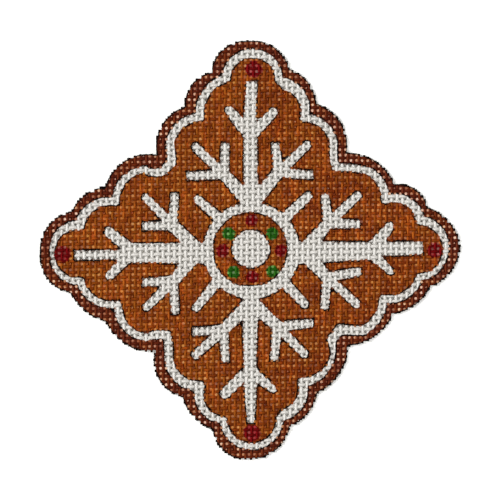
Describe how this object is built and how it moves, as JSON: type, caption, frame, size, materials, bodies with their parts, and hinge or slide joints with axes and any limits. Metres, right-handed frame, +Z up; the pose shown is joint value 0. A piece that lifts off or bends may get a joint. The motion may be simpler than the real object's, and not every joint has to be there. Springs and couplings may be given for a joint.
{
  "type": "needlepoint canvas",
  "caption": "Stiff woven cotton needlepoint canvas, painted as a gingerbread cookie with a snowflake in icing, and cut out along its scalloped edge.",
  "frame": {"origin": "middle of the outline's box, on the unpainted underside that rests on the table", "axes": "+Z up out of the painted side, +Y towards the top tip of the snowflake, +X towards its right tip"},
  "size_m": [0.1062, 0.106, 0.0009],
  "materials": {
    "painted_canvas": "matt acrylic paint on sized cotton threads: gingerbread brown with white, red and green icing"
  },
  "bodies": {
    "root": {"canvas": "painted_canvas"}
  },
  "joints": []
}
